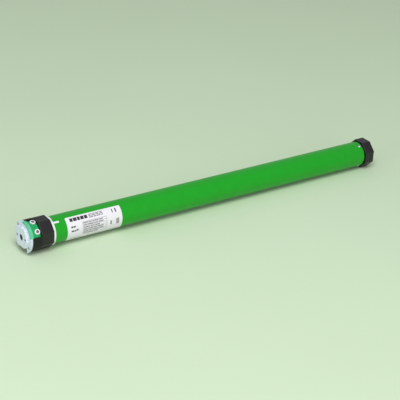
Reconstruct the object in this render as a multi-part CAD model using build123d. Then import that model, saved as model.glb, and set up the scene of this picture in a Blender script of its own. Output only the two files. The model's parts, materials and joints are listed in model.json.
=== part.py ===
from build123d import *
from math import acos, cos, pi, radians, sin, tan
import os

os.makedirs("parts", exist_ok=True)

# Tubular roller blind motor. Lengths in millimetres, angles in degrees.
# X runs along the axis from the head to the drive end, Z is up.
# X is zero at the outer face of the head plate, which lies against the wall bracket.
# An angle round the axis is zero level on the front side, -Y, and 90 straight up.

# Fits shared by the pieces
overrun = 1.0
run_gap = 0.05
free_gap = 0.3
seat_gap = 0.03
edge_break = 0.5

# Tube
tube_d = 45.0
tube_wall = 1.1
tube_length = 645.8

# Label on the tube
label_start = 21.3
label_length = 102.3
label_film = 0.12
label_low_angle = -75.0
label_high_angle = 65.0

# Octagons that carry the roller tube, 49 mm across flats on a motor tube of 45 mm
octagon_step = 2.0
octagon_corner = 1.6

# Head plate and star boss
plate_lip = 0.2
plate_t = 4.0
boss_inset = 7.7
boss_length = 3.5
boss_lobes = 10
first_groove_angle = 6.0
lobe_groove_r = 2.3
lobe_groove_out = 0.6
boss_edge = 0.8
boss_bore_r = 5.0
boss_bore_depth = 6.0
bolt_inset = 6.0
bolt_hole_r = 2.1
bolt_hole_depth = 6.0
bolt_holes = 2
first_bolt_angle = 0.0
plate_screw_r = 1.5
plate_screw_head_r = 2.8
plate_screw_sink = 1.7
plate_screw_inset = 3.7
plate_screw_length = 12.0
plate_screw_angles = (135.0, 205.0, 330.0)
plate_notch = 3.2

# Head collar
collar_step = 2.0
collar_wall = 7.3
collar_length = 17.0
collar_flange_t = 2.2
collar_back_wall = 1.5
window_low_angle = 15.0
window_high_angle = 96.0
window_slack_angle = 0.2

# Adjuster block
block_inset = 0.2
block_lip_inset = 0.2
block_rim = 6.0
window_depth = 2.5

# Limit adjusters, each with a pinion that drives a toothed bar
adjuster_inset = 10.7
adjuster_angles = {"up": 79.0, "down": 36.0}
bar_sides = {"up": 1, "down": -1}
adjuster_head_r = 4.5
adjuster_head_gap = 0.15
adjuster_head_inset = 0.1
adjuster_shank_r = 2.0
adjuster_key_flats = 4.0
adjuster_key_depth = 1.5
adjuster_module = 0.5
adjuster_teeth = 12
pinion_inset = 1.3
pinion_depth = 2.8
bar_thickness = 2.0
bar_back = 5.6
rack_back_teeth = 3
rack_front_teeth = 4
switch_length = 12.0
switch_height = 5.3
switch_far_side = 2.0
up_switch_inset = 12.0
down_switch_inset = 16.0
plunger_r = 1.0
plunger_reach = 1.55
plunger_length = 3.0
plunger_travel = 0.6

# Cable recess under the head, with the cable socket in its end wall
recess_angle = 270.0
recess_width = 28.0
recess_length = 12.0
recess_depth = 11.2
recess_wall = 1.5
socket_width = 12.0
socket_lift = 1.0
socket_height = 5.7
socket_wall = 0.45
socket_depth = 5.0
socket_back = 1.5
socket_pin_r = 0.75
socket_pin_length = 3.2
socket_pin_pitch = 3.2
socket_pins = 3

# Running ring and its inner teeth
ring_length = 22.2
ring_teeth = 60
ring_face = 5.9
ring_tooth_wall = 0.9
neck_step = 0.17
neck_gap = 0.5

# Retaining ring
retainer_length = 3.5
retainer_lip = 1.33
retainer_gap = 0.4
tab_angle = 56.0
tab_length = 10.1
tab_width = 3.2
tab_t = 0.9

# Head core
core_front_gap = 1.04
core_bore_gap = 0.54
core_skirt = 8.0
core_web = 4.8
core_wall = 2.07
chamber_length = 54.0
end_web = 4.0
idler_angle = 270.0
idler_teeth = 12
idler_pin_r = 1.5
idler_pocket_gap = 0.44
limit_gear_face = 5.0
limit_gear_inset = 1.2
spindle_teeth = 36
spindle_r = 3.0
spindle_stub = 2.0
nut_gap = 0.35
nut_length = 8.0
ear_width = 3.4
ear_height = 4.0
guide_gap = 2.0
guide_t = 1.6
core_screw_r = 1.25
core_screw_head_r = 2.2
core_screw_head = 2.0
core_screw_length = 10.0
core_screw_angles = (145.0, 210.0, 330.0)

# Rivets through the tube
rivet_r = 1.6
rivet_head_r = 3.0
rivet_head = 1.0
rivet_depth = 3.0
head_rivet_inset = 15.0
head_rivet_angles = (150.0, 210.0, 270.0)
drive_rivet_back = 3.8
drive_rivet_angles = (62.0, 182.0, 302.0)

# Terminal board and run capacitor
board_gap = 3.0
board_t = 1.6
board_hole_r = 5.0
capacitor_gap = 35.0
capacitor_length = 100.0
clip_wall = 3.37
clip_inset = 8.0
clip_length = 10.0

# Brake
brake_gap = 45.0
brake_plate_t = 8.0
wire_hole_r = 5.0
lining_t = 2.0
lining_width = 8.0
lining_inset = 0.5
disc_t = 6.0
disc_gap = 3.87
disc_hub_r = 7.0
disc_hub = 6.0
brake_travel = 0.5
brake_face_gap = 0.05
spring_inner_r = 4.6
spring_outer_r = 7.4
spring_length = 12.3
shaft_collar_r = 8.0
shaft_collar = 3.0
coil_bore_r = 10.5
coil_length = 26.2

# Motor
bell_gap = 1.2
bell_length = 16.0
bell_bore_r = 4.6
bush_r = 7.0
bush_length = 12.0
shaft_r = 4.0
stator_wall = 8.37
stator_slots = 12
slot_r = 1.6
slot_inset = 2.4
winding_length = 14.0
winding_gap = 2.4
winding_inset = 1.0
winding_room = 1.37
rotor_inset = 2.0
air_gap = 0.35

# Planetary gearbox
sun_teeth = 12
planet_teeth = 21
planets = 3
stage_faces = (14.0, 20.0, 28.0)
carrier_plates = (4.5, 4.5, 6.0)
stage_gap = 0.6
first_planet_angle = 90.0
gearbox_gap = 3.2
housing_wall = 1.7
carrier_gap = 0.94
planet_pin_r = 2.0
sun_wall = 0.93
housing_lead = 2.0
housing_tail = 0.9

# Output
output_shaft_r = 7.0
output_flats = 11.0
output_bush_r = 9.5
output_bush_length = 12.0
output_bush_inset = 2.0
block_end_inset = 1.3
block_length = 63.5
wheel_gap = 1.5
wheel_width = 19.3
wheel_rim = 2.6
wheel_hub_r = 12.0
wheel_web = 3.0
wheel_web_inset = 6.0
wheel_ribs = 8
wheel_rib_t = 2.0
wheel_screw_r = 2.5
wheel_screw_head_r = 4.5
wheel_screw_head = 3.0
wheel_screw_length = 16.0
washer_r = 10.0
washer_t = 1.2
wheel_key_depth = 1.8
wheel_key_flats = 4.0

# Tooth form, in shares of the module
addendum_share = 0.8
dedendum_share = 1.1
backlash_share = 0.17
pressure = radians(25.0)
flank_steps = 2

# Places that follow from the sizes above
tube_r = tube_d / 2
tube_bore_r = tube_r - tube_wall
seat_r = tube_bore_r - seat_gap
octagon_flats = tube_d + 2 * octagon_step
collar_r = octagon_flats / 2 + collar_step
collar_bore_r = collar_r - collar_wall
plate_r = collar_r + plate_lip
boss_r = plate_r - boss_inset
bolt_circle_r = boss_r - bolt_inset
plate_screw_circle_r = plate_r - plate_screw_inset
notch_r = plate_r - plate_notch
block_outer_r = collar_r - block_inset
block_inner_r = collar_bore_r - run_gap
window_floor_r = collar_r - window_depth
adjuster_head_low = window_floor_r + adjuster_head_gap
adjuster_head_high = block_outer_r - adjuster_head_inset
recess_floor_r = plate_r - recess_depth
socket_low_r = recess_floor_r + socket_lift
socket_high_r = socket_low_r + socket_height
socket_bottom = recess_length + socket_depth
socket_end = socket_bottom + socket_back
neck_r = tube_r + neck_step
retainer_r = neck_r + retainer_lip
chamber_r = seat_r - core_wall
adjuster_gear_high = chamber_r - pinion_inset
adjuster_gear_low = adjuster_gear_high - pinion_depth
switch_inner_r = adjuster_gear_low - switch_height
plunger_tip_r = switch_inner_r - plunger_reach
nut_r = plunger_tip_r - nut_gap
guide_r = nut_r + guide_gap
ear_r = guide_r + ear_height
capacitor_r = seat_r - clip_wall
disc_r = seat_r - disc_gap
lining_outer_r = disc_r - lining_inset
lining_inner_r = lining_outer_r - lining_width
stator_bore_r = seat_r - stator_wall
slot_circle_r = stator_bore_r + slot_inset
winding_inner_r = stator_bore_r + winding_inset
winding_outer_r = seat_r - winding_room
adjuster_x = plate_t + adjuster_inset
collar_end = plate_t + collar_length
window_end = collar_end - collar_back_wall
core_start = collar_end
limit_gear_start = core_start + limit_gear_inset
ring_start = collar_end + free_gap
neck_start = ring_start + ring_face + neck_gap
retainer_start = ring_start + ring_length + free_gap
retainer_end = retainer_start + retainer_length
tube_start = retainer_end + retainer_gap
tube_end = tube_start + tube_length
head_rivet_x = tube_start + head_rivet_inset
core_web_end = neck_start + core_web
chamber_end = core_web_end + chamber_length
core_end = chamber_end + end_web + core_skirt
switch_places = {"up": core_web_end + up_switch_inset, "down": chamber_end - down_switch_inset}
nut_x = (switch_places["up"] + switch_places["down"]) / 2
adjuster_pitch_r = adjuster_module * adjuster_teeth / 2
limit_module = (neck_r - ring_tooth_wall) / (ring_teeth / 2 + dedendum_share)
idler_circle_r = limit_module * (ring_teeth - idler_teeth) / 2
idler_pocket_r = limit_module * (idler_teeth / 2 + addendum_share) + idler_pocket_gap
core_front_r = limit_module * (ring_teeth / 2 - addendum_share) - core_front_gap
core_front_bore_r = limit_module * (spindle_teeth / 2 + addendum_share) + core_bore_gap
core_screw_circle_r = (core_front_r + core_front_bore_r) / 2
housing_teeth = sun_teeth + 2 * planet_teeth
gear_module = (seat_r - housing_wall) / (housing_teeth / 2 + dedendum_share)
sun_shaft_r = gear_module * (sun_teeth / 2 - dedendum_share) - sun_wall
planet_circle_r = gear_module * (sun_teeth + planet_teeth) / 2
carrier_r = gear_module * (housing_teeth / 2 - addendum_share) - carrier_gap
board_x = core_end + board_gap
capacitor_start = board_x + board_t + capacitor_gap
capacitor_end = capacitor_start + capacitor_length
brake_x = capacitor_end + brake_gap
lining_end = brake_x + brake_plate_t + lining_t
disc_start = lining_end + brake_face_gap
hub_end = disc_start + disc_t + disc_hub
spring_end = hub_end + brake_travel + run_gap + spring_length
coil_start = disc_start + disc_t + brake_travel + run_gap
rear_bell_x = coil_start + coil_length + bell_gap
stator_x = rear_bell_x + bell_length + winding_gap + winding_length
block_end = tube_end - block_end_inset
block_start = block_end - block_length
stages_length = sum(stage_faces) + sum(carrier_plates) + 2 * stage_gap * len(stage_faces)
gear_start = block_start - housing_tail - stages_length
front_bell_end = gear_start - gearbox_gap
front_bell_x = front_bell_end - bell_length
stator_end = front_bell_x - winding_gap - winding_length
wheel_start = tube_end + wheel_gap
wheel_end = wheel_start + wheel_width

ABOVE = (Align.CENTER, Align.CENTER, Align.MIN)


def station(x):
    """Plane across the motor at x, whose own x and y are the motor's Y and Z."""
    return Plane(origin=(x, 0, 0), x_dir=(0, 1, 0), z_dir=(1, 0, 0))


def outward(angle):
    """Unit vector from the axis at an angle round it."""
    return Vector(0, -cos(radians(angle)), sin(radians(angle)))


def across(angle, radius):
    """The same direction as a point on a station."""
    return (-radius * cos(radians(angle)), radius * sin(radians(angle)))


def radial(x, angle, radius=0):
    """Plane that faces outward; its own x is the motor's X, its y turns with the angle."""
    out = outward(angle)
    return Plane(origin=Vector(x, 0, 0) + out * radius, x_dir=(1, 0, 0), z_dir=out)


def disc(start, end, radius):
    return station(start) * Cylinder(radius, end - start, align=ABOVE)


def ring(start, end, outer, inner):
    return disc(start, end, outer) - disc(start - overrun, end + overrun, inner)


def spoke(x, angle, low, high, radius):
    """Round pin that stands out from the axis between two distances."""
    return radial(x, angle, low) * Cylinder(radius, high - low, align=ABOVE)


def rod(start, end, angle, circle_r, radius):
    """Round pin along the motor at a distance from the axis."""
    place = Location(across(angle, circle_r) + (0,))
    return station(start) * place * Cylinder(radius, end - start, align=ABOVE)


def slab(x, angle, low, high, length, width, aside=0):
    """Block that stands out from the axis, centred on x and on the angle."""
    place = Location((0, aside, 0))
    return radial(x, angle, low) * place * Box(length, width, high - low, align=ABOVE)


def wedge(start, end, low, high, reach):
    """Sector of a round block between two angles."""
    steps = 4
    turns = [low + (high - low) * step / steps for step in range(steps + 1)]
    outline = [(0, 0)] + [across(turn, reach) for turn in turns]
    return prism(start, end, make_face(Polyline(*outline, close=True)))


def prism(start, end, face):
    return extrude(station(start) * face, amount=end - start)


def octagon(flats):
    """Octagon that lies on a flat, with its corners rounded."""
    shape = RegularPolygon(flats / 2, 8, major_radius=False, rotation=360 / 16)
    return fillet(shape.vertices(), octagon_corner)


def involute(angle):
    return tan(angle) - angle


def gear_face(teeth, module, phase, space=False):
    """Spur gear outline; space gives the outline that cuts the teeth inside a ring."""
    pitch_r = module * teeth / 2
    tip_share = dedendum_share if space else addendum_share
    root_share = addendum_share if space else dedendum_share
    slack = backlash_share if space else -backlash_share
    tip = pitch_r + tip_share * module
    root = pitch_r - root_share * module
    base = pitch_r * cos(pressure)
    half = (pi / 2 + slack) * module / (2 * pitch_r) + involute(pressure)
    foot = max(base, root)
    radii = [foot + (tip - foot) * step / flank_steps for step in range(flank_steps + 1)]
    flank = [(r, half - involute(acos(min(1, base / r)))) for r in radii]
    if root < foot:
        flank = [(root, flank[0][1])] + flank
    outline = []
    for tooth in range(teeth):
        centre = phase + 2 * pi * tooth / teeth
        outline += [(r * cos(centre - a), r * sin(centre - a)) for r, a in flank]
        outline += [(r * cos(centre + a), r * sin(centre + a)) for r, a in reversed(flank)]
    return make_face(Polyline(*outline, close=True))


def meshed_phase(angle, inner_teeth, outer_teeth):
    """Phase of a gear at an angle on its station that meshes with a central gear at phase 0."""
    shift = 0.5 - angle * inner_teeth / (2 * pi)
    return angle + pi - shift * 2 * pi / outer_teeth


def ring_phase(angle, gear_teeth, gear_phase, ring_count):
    """Phase of the spaces inside a ring that meshes with a gear at an angle."""
    turns = 0.5 + (angle - gear_phase) * gear_teeth / (2 * pi)
    tooth = angle - turns * 2 * pi / ring_count
    return tooth + pi / ring_count


parts = {}


# Tube, label and rivets

def rivet_places():
    head = [(head_rivet_x, angle) for angle in head_rivet_angles]
    drive = [(tube_end - drive_rivet_back, angle) for angle in drive_rivet_angles]
    return head + drive


def rivet_hole(x, angle):
    return spoke(x, angle, tube_r - rivet_depth, tube_r + overrun, rivet_r)


def make_tube():
    tube = ring(tube_start, tube_end, tube_r, tube_bore_r)
    for x, angle in rivet_places():
        tube -= rivet_hole(x, angle)
    parts["motor_tube"] = tube

    start = tube_start + label_start
    under = tube_r + seat_gap
    film = ring(start, start + label_length, under + label_film, under)
    sector = wedge(start - overrun, start + label_length + overrun, label_low_angle, label_high_angle, tube_d)
    parts["tube_label"] = film & sector

    rivets = []
    for x, angle in rivet_places():
        shank = spoke(x, angle, tube_r - rivet_depth, tube_r + rivet_head, rivet_r)
        head = spoke(x, angle, tube_r, tube_r + rivet_head, rivet_head_r)
        top = head.faces().filter_by(GeomType.PLANE).sort_by(Axis((0, 0, 0), tuple(outward(angle))))[-1]
        rivets.append(shank + chamfer(top.edges(), rivet_head / 2))
    parts["tube_rivets"] = rivets


# Head

def plate_screw_hole(angle):
    """Countersunk hole for a screw that holds the plate to the collar."""
    start = -overrun
    hole = rod(start, plate_screw_length, angle, plate_screw_circle_r, plate_screw_r)
    return hole + plate_screw_head(angle)


def plate_screw_head(angle):
    place = station(0) * Location(across(angle, plate_screw_circle_r) + (0,))
    return place * Cone(plate_screw_head_r, plate_screw_r, plate_screw_sink, align=ABOVE)


def recess_block(start, end, wall=0):
    """Space for the cable, open to the outside; a wall makes it the well that holds that space."""
    width = recess_width + 2 * wall
    return slab((start + end) / 2, recess_angle, recess_floor_r - wall, 2 * plate_r, end - start, width)


def socket_block(start, end, inset=0):
    """Block of the cable socket's outline, drawn in by an inset on each side."""
    middle = (start + end) / 2
    width = socket_width - 2 * inset
    return slab(middle, recess_angle, socket_low_r + inset, socket_high_r - inset, end - start, width)


def window_wedge(start, end, slack=0):
    """Sector over the collar's cut-out, which the plate's notch follows."""
    return wedge(start, end, window_low_angle + slack, window_high_angle - slack, 2 * collar_r)


def make_head_plate():
    star = Circle(boss_r)
    for lobe in range(boss_lobes):
        groove = across(first_groove_angle + 360 * lobe / boss_lobes, boss_r + lobe_groove_out)
        star -= Location(groove + (0,)) * Circle(lobe_groove_r)
    boss = prism(-boss_length, 0, star)
    boss = chamfer(boss.faces().sort_by(Axis.X)[0].edges(), boss_edge)
    plate = disc(0, plate_t, plate_r)
    plate = chamfer(plate.edges().filter_by(GeomType.CIRCLE), edge_break)
    plate -= window_wedge(-overrun, plate_t + overrun) - disc(-2 * overrun, plate_t + 2 * overrun, notch_r)
    plate += boss
    plate -= disc(-boss_length - overrun, boss_bore_depth - boss_length, boss_bore_r)
    for hole in range(bolt_holes):
        angle = first_bolt_angle + 360 * hole / bolt_holes
        end = bolt_hole_depth - boss_length
        plate -= rod(-boss_length - overrun, end, angle, bolt_circle_r, bolt_hole_r)
    for angle in plate_screw_angles:
        plate -= plate_screw_hole(angle)
    plate -= recess_block(-boss_length - overrun, plate_t + overrun)
    parts["head_plate"] = plate

    screws = []
    for angle in plate_screw_angles:
        shank = rod(plate_screw_sink, plate_screw_length, angle, plate_screw_circle_r, plate_screw_r)
        screws.append(plate_screw_head(angle) + shank)
    parts["plate_screws"] = screws


def bar_slot(name, start, end):
    """Clear way for a switch bar through a wall."""
    angle = adjuster_angles[name]
    side = bar_sides[name]
    near = adjuster_pitch_r - adjuster_module - free_gap
    far = adjuster_pitch_r + adjuster_module * dedendum_share + bar_thickness + free_gap
    low = adjuster_gear_low - free_gap
    high = adjuster_gear_high + free_gap
    middle = (start + end) / 2
    aside = side * (near + far) / 2
    return slab(middle, angle, low, high, end - start, far - near, aside)


def core_screw_hole(angle):
    start = collar_end - collar_flange_t - overrun
    return rod(start, core_start + core_screw_length, angle, core_screw_circle_r, core_screw_r)


def make_collar():
    collar = ring(plate_t, collar_end, collar_r, collar_bore_r)
    back = collar.edges().filter_by(GeomType.CIRCLE).sort_by(Axis.X)[-2:]
    collar = chamfer(back.sort_by(SortBy.RADIUS)[-1], edge_break)
    flange_start = collar_end - collar_flange_t
    collar += ring(flange_start, collar_end, collar_bore_r + overrun, core_front_bore_r)
    well_end = recess_length + recess_wall
    collar += recess_block(plate_t, well_end, recess_wall) & disc(plate_t, well_end, collar_bore_r + overrun)
    collar -= recess_block(plate_t - overrun, recess_length)
    collar -= socket_block(recess_length - overrun, socket_end)
    window = window_wedge(plate_t - overrun, window_end)
    window -= disc(plate_t - overrun, window_end, block_inner_r - seat_gap)
    collar -= window
    for angle in plate_screw_angles:
        collar -= rod(plate_t - overrun, plate_screw_length, angle, plate_screw_circle_r, plate_screw_r)
    for angle in core_screw_angles:
        collar -= core_screw_hole(angle)
    for name in adjuster_angles:
        collar -= bar_slot(name, flange_start - overrun, collar_end + overrun)
    parts["head_collar"] = collar


def make_adjuster_block():
    block = ring(plate_t, window_end - seat_gap, block_outer_r, block_inner_r)
    block += ring(block_lip_inset, plate_t, block_outer_r, notch_r + seat_gap)
    block -= ring(block_rim, window_end + overrun, 2 * collar_r, window_floor_r)
    block &= window_wedge(0, window_end + overrun, window_slack_angle)
    for angle in adjuster_angles.values():
        block -= spoke(adjuster_x, angle, 0, collar_r, adjuster_shank_r + run_gap)
    parts["adjuster_block"] = block


def make_adjuster(name):
    """Adjuster screw with a hex recess in its head and a pinion at its inner end."""
    angle = adjuster_angles[name]
    side = bar_sides[name]
    head = spoke(adjuster_x, angle, adjuster_head_low, adjuster_head_high, adjuster_head_r)
    facing = Axis((0, 0, 0), tuple(outward(angle)))
    top = head.faces().filter_by(GeomType.PLANE).sort_by(facing)[-1]
    head = chamfer(top.edges(), edge_break)
    key = RegularPolygon(adjuster_key_flats / 2, 6, major_radius=False)
    recess_low = adjuster_head_high - adjuster_key_depth
    head -= extrude(radial(adjuster_x, angle, recess_low) * key, amount=adjuster_key_depth + overrun)
    shank = spoke(adjuster_x, angle, adjuster_gear_low, adjuster_head_low, adjuster_shank_r)
    phase = side * pi / 2 + pi / adjuster_teeth
    teeth = gear_face(adjuster_teeth, adjuster_module, phase)
    depth = adjuster_gear_high - adjuster_gear_low
    pinion = extrude(radial(adjuster_x, angle, adjuster_gear_low) * teeth, amount=depth)
    parts["adjuster_" + name] = head + shank + pinion


def make_switch_bar(name):
    """Toothed bar along the motor that carries a limit switch at its far end."""
    angle = adjuster_angles[name]
    side = bar_sides[name]
    far_end = switch_places[name] + switch_length / 2 - adjuster_x
    root = adjuster_pitch_r + adjuster_module * dedendum_share
    tip = adjuster_pitch_r - adjuster_module * addendum_share
    back = root + bar_thickness
    pitch = pi * adjuster_module
    half = (pi / 2 - backlash_share) * adjuster_module / 2
    root_half = half + (root - adjuster_pitch_r) * tan(pressure)
    tip_half = half - (adjuster_pitch_r - tip) * tan(pressure)
    outline = [(-bar_back, side * back), (-bar_back, side * root)]
    for tooth in range(-rack_back_teeth, rack_front_teeth + 1):
        centre = tooth * pitch
        outline.append((centre - root_half, side * root))
        outline.append((centre - tip_half, side * tip))
        outline.append((centre + tip_half, side * tip))
        outline.append((centre + root_half, side * root))
    outline += [(far_end, side * root), (far_end, side * back)]
    face = make_face(Polyline(*outline, close=True))
    depth = adjuster_gear_high - adjuster_gear_low
    plane = radial(adjuster_x, angle, adjuster_gear_low)
    parts["switch_bar_" + name] = extrude(plane * face, amount=depth)

    x = switch_places[name]
    width = back + switch_far_side
    aside = side * (back - switch_far_side) / 2
    switch = slab(x, angle, switch_inner_r, adjuster_gear_low, switch_length, width, aside)
    plunger_top = plunger_tip_r + plunger_length
    switch -= spoke(x, angle, 0, plunger_top + plunger_travel + free_gap, plunger_r + run_gap)
    parts["limit_switch_" + name] = switch
    parts["switch_plunger_" + name] = spoke(x, angle, plunger_tip_r, plunger_top, plunger_r)


def make_cable_socket():
    body = socket_block(recess_length, socket_end)
    body -= socket_block(recess_length - overrun, socket_bottom, socket_wall)
    parts["cable_socket"] = body
    middle_r = (socket_low_r + socket_high_r) / 2
    pins = []
    for index in range(socket_pins):
        aside = (index - (socket_pins - 1) / 2) * socket_pin_pitch
        place = radial(socket_bottom - socket_pin_length, recess_angle, middle_r)
        start = Plane(origin=place.origin + place.y_dir * aside, x_dir=place.y_dir, z_dir=(1, 0, 0))
        pins.append(start * Cylinder(socket_pin_r, socket_pin_length, align=ABOVE))
    parts["socket_pins"] = pins


# Limit gear train

def idler_turn():
    """Angle of the idler on a station, in radians."""
    return radians(180 - idler_angle)


def make_running_ring():
    end = ring_start + ring_length
    body = prism(ring_start, end, octagon(octagon_flats))
    ends = body.edges().filter_by(lambda edge: abs(edge.bounding_box().size.X) < edge_break)
    body = chamfer(ends, edge_break)
    body -= disc(ring_start + ring_face, end + overrun, neck_r + run_gap)
    idler_phase = meshed_phase(idler_turn(), spindle_teeth, idler_teeth)
    phase = ring_phase(idler_turn(), idler_teeth, idler_phase, ring_teeth)
    spaces = gear_face(ring_teeth, limit_module, phase, space=True)
    body -= prism(ring_start - overrun, ring_start + ring_face + overrun, spaces)
    parts["running_ring"] = body


def make_retaining_ring():
    body = ring(retainer_start, retainer_end, retainer_r, neck_r)
    reach = tab_length + retainer_length / 2
    middle = retainer_end + tab_length - reach / 2
    low = tube_r + seat_gap
    tab = slab(middle, tab_angle, low, low + tab_t, reach, tab_width)
    parts["retaining_ring"] = body + tab - disc(retainer_start - overrun, tube_start, neck_r)


def make_head_core():
    core = ring(core_start, neck_start + overrun, core_front_r, core_front_bore_r)
    core += disc(neck_start, tube_start - run_gap, neck_r)
    core += disc(neck_start, core_end, seat_r)
    core -= disc(core_web_end, chamber_end, chamber_r)
    core -= disc(chamber_end + end_web, core_end + overrun, chamber_r)
    core -= disc(neck_start - overrun, core_end, spindle_r + run_gap)
    for side in (-1, 1):
        aside = side * (ear_width / 2 + free_gap + guide_t / 2)
        middle = (core_web_end + chamber_end) / 2
        height = chamber_r + free_gap
        core += slab(middle, idler_angle, guide_r, height, chamber_length, guide_t, aside)
    core -= rod(core_start - overrun, neck_start, idler_angle, idler_circle_r, idler_pocket_r)
    core += rod(limit_gear_start, neck_start + overrun, idler_angle, idler_circle_r, idler_pin_r)
    for name in adjuster_angles:
        core -= bar_slot(name, core_start - overrun, core_web_end + overrun)
    for angle in core_screw_angles:
        core -= core_screw_hole(angle)
    for angle in head_rivet_angles:
        core -= rivet_hole(head_rivet_x, angle)
    parts["head_core"] = core

    screws = []
    flange_start = collar_end - collar_flange_t
    for angle in core_screw_angles:
        end = core_start + core_screw_length
        shank = rod(flange_start, end, angle, core_screw_circle_r, core_screw_r)
        start = flange_start - core_screw_head
        head = rod(start, flange_start, angle, core_screw_circle_r, core_screw_head_r)
        screws.append(shank + head)
    parts["core_screws"] = screws


def make_limit_train():
    start = limit_gear_start
    end = start + limit_gear_face
    centre = Location((idler_circle_r * cos(idler_turn()), idler_circle_r * sin(idler_turn()), 0))
    phase = meshed_phase(idler_turn(), spindle_teeth, idler_teeth)
    idler = prism(start, end, centre * gear_face(idler_teeth, limit_module, phase))
    idler -= rod(start - overrun, end + overrun, idler_angle, idler_circle_r, idler_pin_r + run_gap)
    parts["idler_gear"] = idler

    spindle = prism(start, end, gear_face(spindle_teeth, limit_module, 0))
    spindle += disc(start, chamber_end + spindle_stub, spindle_r)
    parts["limit_spindle"] = spindle

    nut_start = nut_x - nut_length / 2
    nut = disc(nut_start, nut_start + nut_length, nut_r)
    nut += slab(nut_x, idler_angle, spindle_r, ear_r, nut_length, ear_width)
    nut -= disc(nut_start - overrun, nut_start + nut_length + overrun, spindle_r + run_gap)
    parts["limit_nut"] = nut


# Electrical parts and brake

def make_electrical():
    parts["terminal_board"] = ring(board_x, board_x + board_t, seat_r, board_hole_r)
    parts["run_capacitor"] = disc(capacitor_start, capacitor_end, capacitor_r)
    clips = []
    for start in (capacitor_start + clip_inset, capacitor_end - clip_inset - clip_length):
        clips.append(ring(start, start + clip_length, seat_r, capacitor_r))
    parts["capacitor_clips"] = clips


def make_brake():
    plate_end = brake_x + brake_plate_t
    parts["brake_plate"] = ring(brake_x, plate_end, seat_r, wire_hole_r)
    parts["brake_lining"] = ring(plate_end, lining_end, lining_outer_r, lining_inner_r)
    body = ring(disc_start, disc_start + disc_t, disc_r, shaft_r + run_gap)
    body += ring(disc_start, hub_end, disc_hub_r, shaft_r + run_gap)
    parts["brake_disc"] = body
    spring_start = spring_end - spring_length
    parts["brake_spring"] = ring(spring_start, spring_end, spring_outer_r, spring_inner_r)
    parts["brake_coil"] = ring(coil_start, coil_start + coil_length, seat_r, coil_bore_r)


# Motor

def make_bell(name, start):
    bell = ring(start, start + bell_length, seat_r, bell_bore_r)
    bush_start = start + (bell_length - bush_length) / 2
    bush_end = bush_start + bush_length
    bell -= disc(bush_start, bush_end, bush_r)
    parts[name + "_end_bell"] = bell
    parts[name + "_bush"] = ring(bush_start, bush_end, bush_r, shaft_r + run_gap)


def make_motor():
    stator = ring(stator_x, stator_end, seat_r, stator_bore_r)
    for slot in range(stator_slots):
        angle = 360 * slot / stator_slots
        stator -= rod(stator_x - overrun, stator_end + overrun, angle, slot_circle_r, slot_r)
    parts["stator_core"] = stator
    winding = ring(stator_x - winding_length, stator_x, winding_outer_r, winding_inner_r)
    winding += ring(stator_end, stator_end + winding_length, winding_outer_r, winding_inner_r)
    for slot in range(stator_slots):
        angle = 360 * slot / stator_slots
        winding += rod(stator_x, stator_end, angle, slot_circle_r, slot_r)
    parts["stator_winding"] = winding
    rotor_r = stator_bore_r - air_gap
    rotor_start = stator_x + rotor_inset
    parts["rotor_core"] = ring(rotor_start, stator_end - rotor_inset, rotor_r, shaft_r)

    sun_end = gear_start + stage_gap + stage_faces[0]
    shaft = disc(disc_start + overrun, front_bell_end, shaft_r)
    shaft += disc(spring_end, spring_end + shaft_collar, shaft_collar_r)
    shaft += disc(front_bell_end, sun_end, sun_shaft_r)
    parts["rotor_shaft"] = shaft
    sun = prism(front_bell_end + free_gap, sun_end, gear_face(sun_teeth, gear_module, 0))
    sun -= disc(front_bell_end, sun_end + overrun, sun_shaft_r)
    parts["sun_gear"] = sun


# Planetary gearbox

def planet_turns():
    """Angles of the planets on a station, in radians."""
    first = radians(first_planet_angle)
    return [first + 2 * pi * index / planets for index in range(planets)]


def make_planet(name, start, end, turn):
    centre = Location((planet_circle_r * cos(turn), planet_circle_r * sin(turn), 0))
    phase = meshed_phase(turn, sun_teeth, planet_teeth)
    face = centre * gear_face(planet_teeth, gear_module, phase)
    planet = prism(start, end, face)
    bore = centre * Circle(planet_pin_r + run_gap)
    parts[name] = planet - prism(start - overrun, end + overrun, bore)


def make_stages():
    start = gear_start
    stages = len(stage_faces)
    for stage in range(stages):
        planet_start = start + stage_gap
        planet_end = planet_start + stage_faces[stage]
        plate_start = planet_end + stage_gap
        plate_end = plate_start + carrier_plates[stage]
        carrier = disc(plate_start, plate_end, carrier_r)
        for turn, letter in zip(planet_turns(), "abc"):
            make_planet(f"planet_{stage + 1}{letter}", planet_start, planet_end, turn)
            place = Location((planet_circle_r * cos(turn), planet_circle_r * sin(turn), 0))
            carrier += prism(planet_start, plate_start, place * Circle(planet_pin_r))
        if stage + 1 < stages:
            sun_end = plate_end + stage_gap + stage_faces[stage + 1]
            carrier += prism(plate_end, sun_end, gear_face(sun_teeth, gear_module, 0))
            parts[f"carrier_{stage + 1}"] = carrier
        else:
            carrier -= disc(plate_start - overrun, plate_end + overrun, output_shaft_r)
            parts["output_carrier"] = carrier
            make_output_shaft(plate_start)
        start = plate_end
    housing = disc(gear_start - housing_lead, block_start, seat_r)
    turn = planet_turns()[0]
    phase = ring_phase(turn, planet_teeth, meshed_phase(turn, sun_teeth, planet_teeth), housing_teeth)
    spaces = gear_face(housing_teeth, gear_module, phase, space=True)
    housing -= prism(gear_start - housing_lead - overrun, block_start + overrun, spaces)
    parts["gear_housing"] = housing


def make_output_block():
    block = ring(block_start, block_end, seat_r, output_bush_r)
    for angle in drive_rivet_angles:
        block -= rivet_hole(tube_end - drive_rivet_back, angle)
    parts["output_block"] = block
    bushes = []
    first = block_start + output_bush_inset
    last = block_end - output_bush_inset - output_bush_length
    for bush_start in (first, last):
        bush_end = bush_start + output_bush_length
        bushes.append(ring(bush_start, bush_end, output_bush_r, output_shaft_r + run_gap))
    parts["output_bushes"] = bushes


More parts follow.
